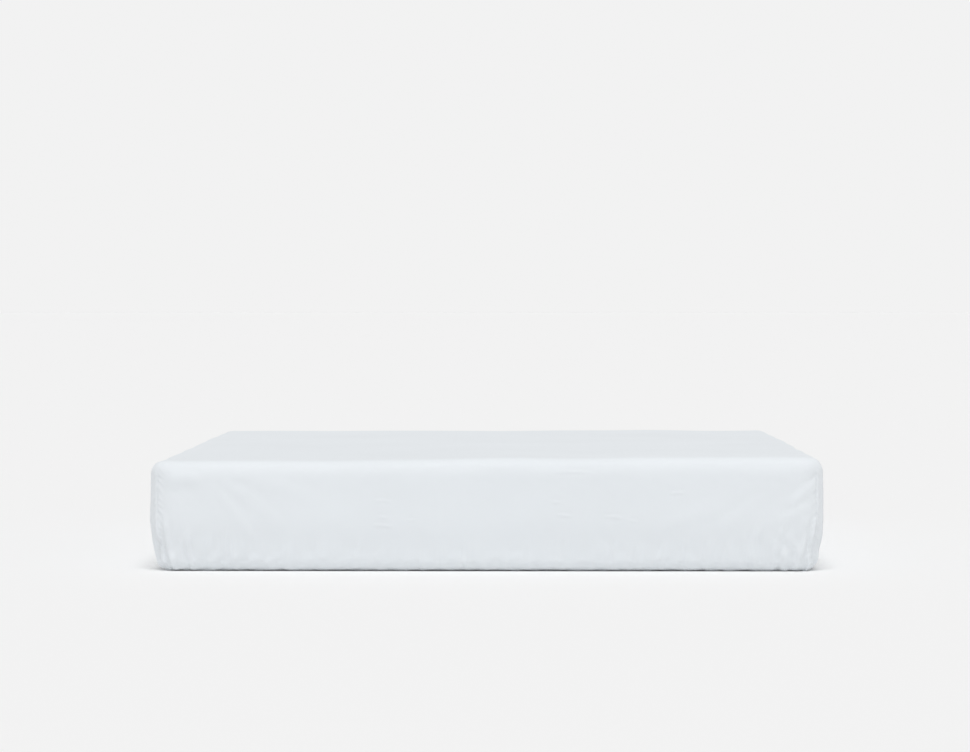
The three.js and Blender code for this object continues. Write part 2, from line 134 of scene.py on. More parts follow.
class Net:
    """Rings round the mattress that share their columns, and caps that continue them."""

    ARC = 6  # columns on each half of a corner

    def __init__(self, cell):
        self.nx = 2 * self.ARC + round(2 * CORNER_X / cell)
        self.ny = 2 * self.ARC + round(2 * CORNER_Y / cell)
        self.columns = 2 * (self.nx + self.ny)
        self.starts = [0, self.nx, self.nx + self.ny, 2 * self.nx + self.ny, self.columns]

    def ring(self, inset, z, radius=None):
        """Points anticlockwise from the middle of the foot-left corner."""
        if radius is None:
            radius = max(CORNER_RADIUS - inset, SMALLEST_RADIUS)
        x = HALF_WIDTH - inset - radius
        y = HALF_LENGTH - inset - radius
        half_turn = math.pi / 4 * (1 - (1 - np.arange(self.ARC + 1) / self.ARC) ** 1.5)
        corners = ((-x, -y, 1, 0), (x, -y, 0, 1), (x, y, -1, 0), (-x, y, 0, -1))
        sides = []
        for k, (cx, cy, dx, dy) in enumerate(corners):
            count = self.starts[k + 1] - self.starts[k]
            outward = math.pi * (1.5 + 0.5 * k)
            straight = 2 * (x if dx else y)
            before = outward - half_turn[::-1][:-1]
            after = outward + half_turn[1:-1]
            along = np.linspace(0, straight, count - 2 * self.ARC + 1)
            far_x, far_y = cx + dx * straight, cy + dy * straight
            ox, oy = radius * math.cos(outward), radius * math.sin(outward)
            px = [cx + radius * np.cos(before), cx + ox + dx * along, far_x + radius * np.cos(after)]
            py = [cy + radius * np.sin(before), cy + oy + dy * along, far_y + radius * np.sin(after)]
            sides.append(np.column_stack([np.concatenate(px), np.concatenate(py)]))
        flat = np.concatenate(sides)
        return np.column_stack([flat, np.full(len(flat), z)])

    def border(self):
        """The ring's column at each point of a cap's edge, and -1 inside it."""
        nx, ny, total = self.nx, self.ny, self.columns
        index = np.full((nx + 1, ny + 1), -1)
        index[:, 0] = np.arange(nx + 1)
        index[nx, :] = nx + np.arange(ny + 1)
        index[:, ny] = nx + ny + np.arange(nx, -1, -1)
        index[0, :] = (2 * nx + ny + np.arange(ny, -1, -1)) % total
        return index

    def cap(self, ring):
        """A grid of points that fills a ring, as a Coons patch of its four sides."""
        index = self.border()
        foot, head = ring[index[:, 0]], ring[index[:, -1]]
        left, right = ring[index[0, :]], ring[index[-1, :]]
        u = (foot[:, 0] - foot[0, 0]) / (foot[-1, 0] - foot[0, 0])
        v = (left[:, 1] - left[0, 1]) / (left[-1, 1] - left[0, 1])
        u, v = u[:, None, None], v[None, :, None]
        sides = (1 - v) * foot[:, None] + v * head[:, None] + (1 - u) * left[None] + u * right[None]
        corners = (1 - u) * ((1 - v) * foot[0] + v * head[0]) + u * ((1 - v) * foot[-1] + v * head[-1])
        return sides - corners

    def surface(self, name, rings, first=False, last=False, closed=False):
        """A mesh through rings that run downwards on the outside. Its UV map is the flat cloth."""
        points = np.concatenate(rings)
        depth = distances(np.array([ring[self.nx // 2] for ring in rings]))
        count = len(rings)
        faces, uvs = [], []
        for i in range(count if closed else count - 1):
            n = (i + 1) % count
            for k in range(4):
                columns = np.arange(self.starts[k], self.starts[k + 1] + 1) % self.columns
                upper, lower = i * self.columns + columns, n * self.columns + columns
                faces.append(np.column_stack([upper[:-1], lower[:-1], lower[1:], upper[1:]]))
                a = Side(k).flat_row(rings[i][columns], depth[i])
                b = Side(k).flat_row(rings[n][columns], depth[i + 1] if n else depth[i])
                uvs.append(np.stack([a[:-1], b[:-1], b[1:], a[1:]], axis=1))
        for wanted, at in ((first, 0), (last, count - 1)):
            if not wanted:
                continue
            index = self.border()
            inside = index < 0
            index += at * self.columns
            index[inside] = len(points) + np.arange(inside.sum())
            points = np.concatenate([points, self.cap(rings[at])[inside]])
            quads = np.stack([index[:-1, :-1], index[1:, :-1], index[1:, 1:], index[:-1, 1:]], axis=-1)
            quads = quads.reshape(-1, 4) if at == 0 else quads.reshape(-1, 4)[:, ::-1]
            faces.append(quads)
            uvs.append(points[quads][:, :, :2])
        return make_object(name, points, np.concatenate(faces), np.concatenate(uvs))


def unit(vectors):
    return vectors / np.linalg.norm(vectors, axis=1, keepdims=True)


def distances(path):
    """The distance along a path to each of its points."""
    return np.concatenate([[0], np.cumsum(np.linalg.norm(np.diff(path, axis=0), axis=1))])


def interpolate(at, run, vectors):
    return np.column_stack([np.interp(at, run, vectors[:, k]) for k in range(3)])


def configure(thing, **settings):
    """Sets several of a thing's values, and returns it."""
    for key, value in settings.items():
        setattr(thing, key, value)
    return thing


def add_to_scene(name, data):
    thing = bpy.data.objects.new(name, data)
    bpy.context.collection.objects.link(thing)
    return thing


def make_object(name, points, faces, uvs=None):
    mesh = bpy.data.meshes.new(name)
    mesh.from_pydata(points.tolist(), [], faces if isinstance(faces, list) else faces.tolist())
    if uvs is not None:
        layer = mesh.uv_layers.new(name="cloth")
        layer.data.foreach_set("uv", np.asarray(uvs, dtype=np.float32).reshape(-1))
    mesh.shade_smooth()
    mesh.update()
    return add_to_scene(name, mesh)


def make_boxes(name, boxes):
    """One object of separate boxes, each given by its lowest and highest corner."""
    quads = np.array([(0, 1, 3, 2), (4, 6, 7, 5), (0, 4, 5, 1), (2, 3, 7, 6), (0, 2, 6, 4), (1, 5, 7, 3)])
    points = [
        (x, y, z)
        for low, high in boxes
        for x in (low[0], high[0]) for y in (low[1], high[1]) for z in (low[2], high[2])
    ]
    faces = np.concatenate([quads + 8 * i for i in range(len(boxes))])
    return make_object(name, np.array(points), faces)


def section(depth, low=-1.0, high=1.0, cell=SHEET_CELL, arc_steps=6):
    """(inset, z) from the top face, round the shoulder, down the side and round the foot."""
    top, side, bottom = depth
    wall = HEIGHT - SHOULDER - BOTTOM_ROUND
    steps = round(wall / cell)
    shoulder, foot = [], []
    for a in np.linspace(0, math.pi / 2, arc_steps + 1):
        inset = SHOULDER - (SHOULDER - side) * math.sin(a)
        shoulder.append((inset, HEIGHT - SHOULDER + (SHOULDER - top) * math.cos(a)))
        inset = BOTTOM_ROUND - (BOTTOM_ROUND - side) * math.cos(a)
        foot.append((inset, BOTTOM_ROUND - (BOTTOM_ROUND - bottom) * math.sin(a)))
    path = shoulder + [(side, HEIGHT - SHOULDER - wall * i / steps) for i in range(1, steps)] + foot
    kept = [(inset, z) for inset, z in path if low < z < high]
    if high < HEIGHT:
        kept.insert(0, (side, high))
    if low > 0:
        kept.append((side, low))
    return kept


def smooth_step(x):
    x = np.clip(x, 0, 1)
    return x * x * (3 - 2 * x)


CROWN = 0.004  # the top's middle stands this proud
BULGE = 0.0005  # and the middle of each side stands out by this
TUCK = 0.011  # the elastic pulls the foot of each side in by this
CORNER_TUCK = 0.003  # and by this much more near the corners
TUCK_TOP = 0.118  # the tuck starts at this height
TUCK_FADE = 0.095  # and is whole this far below it
NEAR_CORNER = 0.4
SIDE_ZONE = 0.09  # the sides' shape fades out this far inside them
WAVES = np.random.default_rng(3).normal(0, 1, (14, 3)) * (7, 7, 12)
WAVE_RISE = 0.00035
FULLNESS = 0.0025  # the rounded top edge stands out this far beyond a circular one
CORNER_FULLNESS = 0.005  # and this much further at the corners
CORNER_ZONE = 0.03
TWIST = 0.006  # the top is this much higher at the foot's right-hand corner, and lower at its left


def unevenness(points):
    """The slow, faint unevenness of foam, as a sum of waves."""
    return WAVE_RISE * np.sin(points @ WAVES.T + np.arange(len(WAVES))).sum(axis=1)


def fill_shoulder(p):
    """Moves points on the rounded top edge outwards and up, so that it turns more tightly."""
    over_x = np.maximum(np.abs(p[:, 0]) - CORNER_X, 0)
    over_y = np.maximum(np.abs(p[:, 1]) - CORNER_Y, 0)
    reach = np.maximum(np.hypot(over_x, over_y), 1e-9)
    inset = CORNER_RADIUS - reach
    sideways = 1 - np.clip(inset / SHOULDER, 0, 1)
    upwards = 1 - np.clip((HEIGHT - p[:, 2]) / SHOULDER, 0, 1)
    fullness = FULLNESS + CORNER_FULLNESS * smooth_step(np.minimum(over_x, over_y) / CORNER_ZONE)
    move = fullness * 2 * sideways * upwards / math.sqrt(2)
    p[:, 0] += np.sign(p[:, 0]) * move * over_x / reach
    p[:, 1] += np.sign(p[:, 1]) * move * over_y / reach
    p[:, 2] += move


def soften(points):
    """Turns the CAD's straight block into a soft one: crowned, bulged, tucked in and uneven."""
    p = np.array(points, dtype=float)
    x, y, z = p.T
    crown = (1 - (x / HALF_WIDTH) ** 4) * (1 - (y / HALF_LENGTH) ** 4)
    height = np.clip(z / HEIGHT, 0, 1)
    corner = np.exp(-((HALF_WIDTH - np.abs(x)) ** 2 + (HALF_LENGTH - np.abs(y)) ** 2) / NEAR_CORNER ** 2)
    tuck = (TUCK + CORNER_TUCK * corner) * smooth_step((TUCK_TOP - z) / TUCK_FADE)
    waves = unevenness(p)
    bulge = BULGE * np.sin(math.pi * np.clip(height * 1.1 - 0.05, 0, 1)) - tuck + waves * height
    for axis, half in ((0, HALF_WIDTH), (1, HALF_LENGTH)):
        near = 1 - smooth_step((half - np.abs(p[:, axis])) / SIDE_ZONE)
        p[:, axis] += np.sign(p[:, axis]) * near * bulge
    twist = TWIST * x / HALF_WIDTH * (0.5 - y / (2 * HALF_LENGTH))
    lift = (CROWN * np.clip(crown, 0, 1) + twist + waves) * height ** 2
    fill_shoulder(p)
    p[:, 2] += lift
    return p


# -------- the fitted sheet

HEM_BULGE = 0.001  # the hem's folded edge is rounded by this

fine = Net(SHEET_CELL)
coarse = Net(LAYER_CELL)


def hem_ring(net, inset, z):
    return net.ring(inset, z, HEM_CENTRE - inset)


def sheet_rings():
    """The sheet's cloth, from the top's edge down to the hem and back over the elastic."""
    low = SHEET_LOW.z
    high = low + HEM_FOLD
    rings = [fine.ring(inset, z) for inset, z in section((0, 0, low))]
    for share in (0.25, 0.5, 0.75):
        rings.append((1 - share) * fine.ring(BOTTOM_ROUND, low) + share * hem_ring(fine, HEM_INSET, low))
    hem = (
        (HEM_INSET, low),
        (HEM_INSET + HEM_BULGE, (low + high) / 2),
        (HEM_INSET, high),
        (HEM_INSET - HEM_WIDTH / 2, high),
        (HEM_INSET - HEM_WIDTH, high),
    )
    return rings + [hem_ring(fine, inset, z) for inset, z in hem]


def make_form():
    """What the sheet lies on: the outside of the cover, as one closed surface."""
    rings = [soften(coarse.ring(inset, z)) for inset, z in section(COVER_DEPTH)]
    return coarse.surface("form", rings, first=True, last=True)


def add_group(piece, name, weights):
    group = piece.vertex_groups.new(name=name)
    for index in np.flatnonzero(weights > 0):
        group.add([int(index)], float(weights[index]), "REPLACE")


def points_of(mesh, what="co"):
    """The place of each of the mesh's points, or its normal."""
    flat = np.empty(len(mesh.vertices) * 3, dtype=np.float32)
    mesh.vertices.foreach_get(what, flat)
    return flat.reshape(-1, 3).astype(float)


def put_points(mesh, points):
    mesh.vertices.foreach_set("co", points.astype(np.float32).reshape(-1))
    mesh.update()


def face_outwards(piece):
    """Turns every face of a closed piece to the outside, and joins points in the same place."""
    mesh = bmesh.new()
    mesh.from_mesh(piece.data)
    bmesh.ops.remove_doubles(mesh, verts=mesh.verts, dist=1e-6)
    bmesh.ops.recalc_face_normals(mesh, faces=mesh.faces)
    mesh.to_mesh(piece.data)
    mesh.free()


def apply_modifiers(piece):
    """Replaces the piece's mesh with what its modifiers make of it, and removes them."""
    depsgraph = bpy.context.evaluated_depsgraph_get()
    mesh = bpy.data.meshes.new_from_object(piece.evaluated_get(depsgraph))
    piece.modifiers.clear()
    piece.data = mesh
    return mesh


# Slack is the share by which the cloth is longer than the surface that it covers.
MOST_SLACK = 0.12  # the most that the simulation allows for
BASE_SLACK = 0.0004
CORNER_SLACK = 0.0012
HEM_SLACK = 0.012  # the elastic gathers this much of it at the foot of the sides
CORNER_HEM_SLACK = 0.045  # and this much more at the foot of the corners
GATHER_TOP = 0.055  # the gathers reach this high on the sides
CORNER_GATHER_TOP = 0.055  # and this much higher at the corners
GATHER_FADE = 0.06
GATHER_REACH = 0.25  # from a corner
TAUT_TOP = 0.01  # there is no slack this near the top

DRAPE_FRAMES = 16
MOST_MOVE = 0.012  # how far the simulation may carry a point
NUDGE = 0.0003  # each point starts this far out of place, so that the cloth can buckle
HEM_RINGS = 5  # the simulation leaves this many of the lowest rings alone
TOP_RINGS = 3  # and this many of the highest
CLOTH_SETTINGS = {
    "quality": 5,
    "mass": 0.15,
    "tension_stiffness": 25,
    "compression_stiffness": 25,
    "shear_stiffness": 8,
    "bending_stiffness": 0.2,
    "air_damping": 2,
    "vertex_group_mass": "held",
    "vertex_group_shrink": "taut",
    "shrink_min": -MOST_SLACK,
    "shrink_max": 0,
    "use_pressure": True,
    "uniform_pressure_force": -1.5,
}
COLLISION_SETTINGS = {"distance_min": 0.001, "use_self_collision": False, "collision_quality": 2}


def slack_at(points):
    """The slack at each point: most at the foot of each corner."""
    x, y, z = points.T
    to_corner = np.hypot(HALF_WIDTH - np.abs(x), HALF_LENGTH - np.abs(y))
    corner = np.exp(-((to_corner / GATHER_REACH) ** 2))
    foot = smooth_step((GATHER_TOP + CORNER_GATHER_TOP * corner - z) / GATHER_FADE)
    slack = BASE_SLACK + foot * (HEM_SLACK + CORNER_HEM_SLACK * corner) + CORNER_SLACK * corner
    slack[z > HEIGHT - TAUT_TOP] = 0
    return slack


def drape(sheet, count):
    """Lets the slack in the cloth's sides buckle against the mattress, between the top and the hem."""
    start = points_of(sheet.data)[: count * fine.columns]
    rng = np.random.default_rng(7)
    rings = start.reshape(count, fine.columns, 3)
    skirt = fine.surface("skirt", list(rings))
    held = np.zeros(rings.shape[:2])
    held[:TOP_RINGS] = 1
    held[-HEM_RINGS:] = 1
    held = held.reshape(-1)
    nudged = start + rng.normal(0, NUDGE, start.shape) * (1 - held[:, None])
    put_points(skirt.data, nudged)
    add_group(skirt, "held", held)
    add_group(skirt, "taut", 1 - slack_at(start) / MOST_SLACK)

    form = make_form()
    form.modifiers.new("collision", "COLLISION")
    configure(form.collision, thickness_outer=0.001, cloth_friction=15)

    cloth = skirt.modifiers.new("cloth", "CLOTH")
    configure(cloth.settings, **CLOTH_SETTINGS)
    configure(cloth.collision_settings, **COLLISION_SETTINGS)
    cloth.settings.effector_weights.gravity = 0.3
    scene = bpy.context.scene
    scene.frame_start, scene.frame_end = 1, DRAPE_FRAMES
    cloth.point_cache.frame_start, cloth.point_cache.frame_end = 1, DRAPE_FRAMES
    for step in range(1, DRAPE_FRAMES + 1):
        scene.frame_set(step)
    move = points_of(apply_modifiers(skirt)) - start
    length = np.linalg.norm(move, axis=1, keepdims=True)
    points = points_of(sheet.data)
    points[: len(start)] += move * np.minimum(1, MOST_MOVE / np.maximum(length, 1e-9))
    put_points(sheet.data, points)
    bpy.data.objects.remove(form)
    bpy.data.objects.remove(skirt)


def flat_of(mesh):
    """Each point's place on the flat cloth."""
    uv = np.empty(len(mesh.loops) * 2, dtype=np.float32)
    mesh.uv_layers["cloth"].data.foreach_get("uv", uv)
    corner = np.empty(len(mesh.loops), dtype=np.int32)
    mesh.loops.foreach_get("vertex_index", corner)
    flat = np.zeros((len(mesh.vertices), 2))
    flat[corner] = uv.reshape(-1, 2)
    return flat


BOW = 0.04  # the middle of a fold is this share of its length out of line
HOLLOWS = ((0.55, 1.6), (0.25, -1.7))  # beside a fold: how deep, and how many widths away


def fold(flat, start, end, width, rise):
    """How far one soft ridge, from start to end on the flat cloth, lifts each point."""
    start, end = np.array(start), np.array(end)
    run = end - start
    length = np.linalg.norm(run)
    run = run / length
    lifted = np.zeros(len(flat))
    reach = np.abs(flat - (start + end) / 2).max(axis=1) < length / 2 + 4 * width
    offset = flat[reach] - start
    along = offset @ run / length
    bend = BOW * length * np.sin(math.pi * np.clip(along, 0, 1))
    across = (offset @ np.array([-run[1], run[0]]) - bend) / width
    taper = smooth_step(along / 0.35) * smooth_step((1.15 - along) / 0.4)
    ridge = np.exp(-(across ** 2))
    for depth, away in HOLLOWS:
        ridge -= depth * np.exp(-((across - away) ** 2))
    lifted[reach] = rise * ridge * taper
    return lifted


# The creases that stand out on the foot side: the middle's place across the bed, its height,
# its length, how far it slopes, its width and how far it stands out.
FOOT_CREASES = [
    (-0.236, 0.155, 0.042, 0.00, 0.003, 0.0008),
    (-0.236, 0.117, 0.026, 0.04, 0.003, 0.0011),
    (-0.239, 0.098, 0.046, -0.03, 0.003, 0.0011),
    (-0.170, 0.110, 0.022, 0.10, 0.003, 0.0006),
    (0.186, 0.217, 0.100, 0.01, 0.0032, 0.0007),
    (0.154, 0.151, 0.028, 0.00, 0.003, 0.0008),
    (0.172, 0.121, 0.034, -0.05, 0.003, 0.001),
    (0.282, 0.117, 0.045, 0.02, 0.0032, 0.001),
    (0.330, 0.108, 0.020, -0.05, 0.003, 0.0006),
    (0.427, 0.171, 0.034, 0.10, 0.003, 0.001),
    (0.712, 0.163, 0.080, 0.80, 0.010, 0.0016),
    (0.690, 0.118, 0.090, 0.50, 0.011, 0.0012),
    (-0.692, 0.205, 0.085, 0.15, 0.017, 0.0022),
]


def foot_creases(flat):
    lift = np.zeros(len(flat))
    foot = Side(0)
    for x, z, length, slope, width, rise in FOOT_CREASES:
        half = length / 2
        start, end = foot.at(x - half, z - slope * half), foot.at(x + half, z + slope * half)
        lift += fold(flat, start, end, width, rise)
    return lift


# Gathers run up from the elastic. A pair of numbers is a range to draw from.
HEM_DEPTH = 0.030  # they start this far in, under the mattress
GATHER_MARGIN = 0.03  # from the side's ends
NEAR_SIDE_END = 0.24  # towards a corner they grow, over about this length
GATHER_TALL = (0.040, 0.075)
CORNER_GATHER_TALL = (0.0, 0.10)
GATHER_LEAN = (0.0, 0.55)
GATHER_DRIFT = 0.004
GATHER_RISE = 0.0009
CORNER_GATHER_RISE = 0.0024
GATHER_SPREAD = (0.4, 1.3)
GATHER_WIDTH = (0.005, 0.009)
GATHER_PITCH = (0.018, 0.036)


def gathers(flat, side, rng):
    """How far the gathers at the foot of one side lift each point."""
    lift = np.zeros(len(flat))
    along = -side.reach + GATHER_MARGIN
    while along < side.reach - GATHER_MARGIN:
        near = math.exp(-(((side.reach - abs(along)) / NEAR_SIDE_END) ** 2))
        tall = rng.uniform(*GATHER_TALL) + near * rng.uniform(*CORNER_GATHER_TALL)
        lean = np.sign(along) * rng.uniform(*GATHER_LEAN) * near * tall + rng.normal(0, GATHER_DRIFT)
        rise = (GATHER_RISE + CORNER_GATHER_RISE * near) * rng.uniform(*GATHER_SPREAD)
        width = rng.uniform(*GATHER_WIDTH)
        lift += fold(flat, side.at(along, -HEM_DEPTH), side.at(along + lean, tall), width, rise)
        along += rng.uniform(*GATHER_PITCH) * (1.7 - 0.7 * near)
    return lift


CREASES = (0, 16, 12, 16)  # on each side: the foot side has its own above
CREASE_MARGIN = 0.1
CREASE_Z = (0.05, 0.2)
CREASE_HALF = (0.010, 0.040)  # half of a crease's length
CREASE_TILT = 0.15
CREASE_WIDTH = (0.0030, 0.0040)
CREASE_RISE = (0.0004, 0.0009)


def creases(flat, side, count, rng):
    """How far some small creases, almost level ones, lift each point on one side."""
    lift = np.zeros(len(flat))
    for _ in range(count):
        middle = rng.uniform(-side.reach + CREASE_MARGIN, side.reach - CREASE_MARGIN)
        z = rng.uniform(*CREASE_Z)
        half = rng.uniform(*CREASE_HALF)
        tilt = rng.normal(0, CREASE_TILT) * half
        start, end = side.at(middle - half, z + tilt), side.at(middle + half, z - tilt)
        lift += fold(flat, start, end, rng.uniform(*CREASE_WIDTH), rng.uniform(*CREASE_RISE))
    return lift


SIDE_PULLS = 4  # at each end of a side
SIDE_PULL_PITCH = 0.035
SIDE_PULL_SCATTER = 0.02
SIDE_PULL_FAN = (0.5, 2.4)  # its top is nearer to the corner than its foot
SIDE_PULL_DROP = (0.06, 0.16)
SIDE_PULL_WIDTH = (0.010, 0.018)
TOP_PULLS = 5  # at each corner of the top
TOP_PULL_INSET = 0.05
TOP_PULL_HEADINGS = (12, 16, 5)  # degrees: the first one's, the step to the next, the scatter
TOP_PULL_LENGTH = (0.14, 0.34)
TOP_PULL_WIDTH = (0.013, 0.020)
PULL_RISE = (0.0004, 0.0008)


def side_pulls(flat, side, rng):
    """Soft folds that fan out over a side from the top of its corners, where the cloth is taut."""
    lift = np.zeros(len(flat))
    reach = side.reach - CORNER_RADIUS
    for end in (-1, 1):
        for k in range(SIDE_PULLS):
            away = SIDE_PULL_SCATTER + SIDE_PULL_PITCH * k + rng.uniform(0, SIDE_PULL_SCATTER)
            drop = rng.uniform(*SIDE_PULL_DROP)
            top = side.at(end * (reach - away * SIDE_PULL_FAN[0]), HEIGHT - SHOULDER * 0.6)
            foot = side.at(end * (reach - away * SIDE_PULL_FAN[1]), HEIGHT - SHOULDER - drop)
            lift += fold(flat, top, foot, rng.uniform(*SIDE_PULL_WIDTH), rng.uniform(*PULL_RISE))
    return lift


def top_pulls(flat, sign_x, sign_y, rng):
    """Faint folds on the top that run in from a corner, where the elastic draws the cloth tight."""
    lift = np.zeros(len(flat))
    corner = np.array([sign_x * (HALF_WIDTH - TOP_PULL_INSET), sign_y * (HALF_LENGTH - TOP_PULL_INSET)])
    first, step, scatter = TOP_PULL_HEADINGS
    for k in range(TOP_PULLS):
        heading = math.radians(first + step * k + rng.uniform(-scatter, scatter))
        toward = np.array([-sign_x * math.cos(heading), -sign_y * math.sin(heading)])
        start = corner + toward * rng.uniform(0.0, TOP_PULL_INSET)
        end = start + toward * rng.uniform(*TOP_PULL_LENGTH)
        lift += fold(flat, start, end, rng.uniform(*TOP_PULL_WIDTH), rng.uniform(*PULL_RISE))
    return lift


SEAM_GROOVE = 0.0008
GROOVE_WIDTH = 0.0026
PADDING = 0.0007  # the allowance behind the cloth lifts it on one side of the seam
PADDING_ASIDE = 0.0075
PADDING_WIDTH = 0.006
PUCKER = 0.0005
PUCKER_PITCH = 0.017
PUCKER_DRIFT = 0.061  # the puckers' spacing comes and goes over this length
PUCKER_SLANT = 0.0035
PUCKER_REACH = 0.008
SEAM_TOP = 0.006  # the seam ends this far below the top
SEAM_FADE = 0.03
SEAM_ZONE = 0.02
DEEPEST = 0.0018  # nothing goes in further than this, so the cover stays hidden


def seam_relief(points):
    """The groove of each corner seam, the allowance that pads it out on one side, and its puckers."""
    x, y, z = points.T
    over_x, over_y = np.abs(x) - CORNER_X, np.abs(y) - CORNER_Y
    aside = (over_x - over_y) / math.sqrt(2)
    at_corner = (over_x > -SEAM_ZONE) & (over_y > -SEAM_ZONE)
    ends = smooth_step((HEIGHT - SEAM_TOP - z) / SEAM_FADE) * at_corner
    groove = -SEAM_GROOVE * np.exp(-((aside / GROOVE_WIDTH) ** 2))
    padding = PADDING * np.exp(-(((aside - PADDING_ASIDE) / PADDING_WIDTH) ** 2))
    drift = 1.3 * np.sin(2 * math.pi * z / PUCKER_DRIFT + 2 * np.sign(x) + np.sign(y))
    slant = 2 * math.pi * z / PUCKER_PITCH + drift + np.abs(aside) / PUCKER_SLANT
    puckers = PUCKER * np.sin(slant) * np.exp(-(((np.abs(aside) - PUCKER_REACH) / PUCKER_REACH) ** 2))
    return ends * (groove + padding + puckers)


def add_creases(sheet):
    """Folds, gathers and corner seams, all as geometry."""
    mesh = sheet.data
    flat, points, normals = flat_of(mesh), points_of(mesh), points_of(mesh, "normal")
    rng = np.random.default_rng(11)
    sides = [Side(number) for number in range(4)]
    lift = foot_creases(flat)
    for side, count in zip(sides, CREASES):
        lift += gathers(flat, side, rng) + creases(flat, side, count, rng)
    for side in sides:
        lift += side_pulls(flat, side, rng)
    for sign_x in (-1, 1):
        for sign_y in (-1, 1):
            lift += top_pulls(flat, sign_x, sign_y, rng)
    lift = np.maximum(lift + seam_relief(points), -DEEPEST)
    points += normals * lift[:, None]
    points[:, 2] = np.maximum(points[:, 2], GAP)
    put_points(mesh, points)


FINE_LOW = 0.006
FINE_HIGH = HEIGHT - 0.3 * SHOULDER


def refine_sides(piece):
    """Halves the cells on the sides, where the fine folds are."""
    mesh = bmesh.new()
    mesh.from_mesh(piece.data)
    sides = [face for face in mesh.faces if FINE_LOW < face.calc_center_median().z < FINE_HIGH]
    edges = list({edge for face in sides for edge in face.edges})
    bmesh.ops.subdivide_edges(mesh, edges=edges, cuts=1, use_grid_fill=True)
    mesh.to_mesh(piece.data)
    mesh.free()


def make_sheet():
    rings = sheet_rings()
    sheet = fine.surface("fitted_sheet_cloth", [soften(ring) for ring in rings], first=True)
    drape(sheet, len(rings))
    configure(sheet.modifiers.new("fine", "SUBSURF"), levels=1, render_levels=1)
    apply_modifiers(sheet)
    refine_sides(sheet)
    add_creases(sheet)
    sheet.data.shade_smooth()
    return sheet


# -------- the layers under the sheet


def layer(name, node, rings, closed=False):
    """A soft piece through these rings, either closed up or capped, which stands for a CAD node."""
    rings = [soften(ring) for ring in rings]
    stand_for(coarse.surface(name, rings, not closed, not closed, closed), node)


def stand_for(piece, node, body="root"):
    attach(piece, body)
    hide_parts(node)
    piece.data.materials.clear()
    piece.data.materials.append(LOOKS[SLOTS[node]])


def rings_at(depth, low=-1.0, high=1.0):
    return [coarse.ring(inset, z) for inset, z in section(depth, low, high, cell=0.025, arc_steps=5)]


def zip_ring(offset, z):
    return coarse.ring(ZIP_INSET + offset, z, ZIP_RADIUS - offset)


def make_foam():
    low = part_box("memory_foam_layer")[0]
    layer("memory_foam", "memory_foam_layer", rings_at(FOAM_DEPTH, low.z))
    low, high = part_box("transition_foam_layer")
    slab = coarse.surface("transition_foam", rings_at(FOAM_DEPTH, low.z, high.z), True, True)
    cut_channels(slab, high.z)
    stand_for(slab, "transition_foam_layer")
    low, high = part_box("support_foam_core")
    rim = SCRIM_INSET + DISH_MARGIN
    dish = [coarse.ring(rim, FOAM_DEPTH[2]), coarse.ring(rim + DISH, low.z)]
    layer("support_foam", "support_foam_core", rings_at(FOAM_DEPTH, -1, high.z) + dish)


def cut_channels(slab, top):
    """Air channels across the slab, cut down from its top face."""
    count = int(2 * CORNER_Y / CHANNEL_PITCH)
    boxes = []
    for i in range(count):
        y = (i - (count - 1) / 2) * CHANNEL_PITCH
        low = (-2 * HALF_WIDTH, y - CHANNEL_WIDTH / 2, top - CHANNEL_DEPTH)
        high = (2 * HALF_WIDTH, y + CHANNEL_WIDTH / 2, top + CHANNEL_DEPTH)
        boxes.append((low, high))
    cutter = make_boxes("cutter", boxes)
    boolean = slab.modifiers.new("channels", "BOOLEAN")
    configure(boolean, object=cutter, operation="DIFFERENCE", solver="EXACT")
    apply_modifiers(slab)
    bpy.data.objects.remove(cutter)
    put_points(slab.data, soften(points_of(slab.data)))
    set_sharp(slab, 40)


def set_sharp(piece, degrees):
    """Smooth shading, except across edges that turn by more than this."""
    piece.data.shade_smooth()
    piece.data.set_sharp_from_angle(angle=math.radians(degrees))


def dished(ring, edge, rim_z, middle_z, thickness):
    """The rings of a cloth whose middle lies lower than its rim."""
    floor = edge + DISH
    upper = [ring(floor, middle_z + thickness), ring(edge, rim_z + thickness)]
    return upper + [ring(edge, rim_z), ring(floor, middle_z)]


def make_fire_barrier():
    mouth = [coarse.ring(SCRIM_INSET, SOCK_DEPTH[2]), coarse.ring(SCRIM_INSET, SOCK_INNER[2])]
    layer("fire_sock", "fire_barrier_sock", rings_at(SOCK_DEPTH) + mouth + rings_at(SOCK_INNER)[::-1])
    scrim = dished(coarse.ring, SCRIM_INSET + GAP, SOCK_DEPTH[2], BOTTOM_PANEL + GAP, SOCK)
    layer("fire_scrim", "fire_barrier_scrim", scrim)


def make_cover():
    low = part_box("cover_top_panel")[0]
    panel = rings_at(PRESSED_DEPTH, low.z) + rings_at(INNER_DEPTH, low.z)[::-1]
    layer("cover_top", "cover_top_panel", panel)
    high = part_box("cover_side_band")[1]
    edge = TAPE_EDGE + GAP
    turned = [zip_ring(-edge, COVER_DEPTH[2]), zip_ring(-edge, INNER_DEPTH[2])]
    band = rings_at(PRESSED_DEPTH, -1, high.z) + turned + rings_at(INNER_DEPTH, -1, high.z)[::-1]
    layer("cover_side", "cover_side_band", band, closed=True)
    bottom = dished(zip_ring, edge, COVER_DEPTH[2], 0, BOTTOM_PANEL)
    layer("cover_bottom", "cover_bottom_panel", bottom)


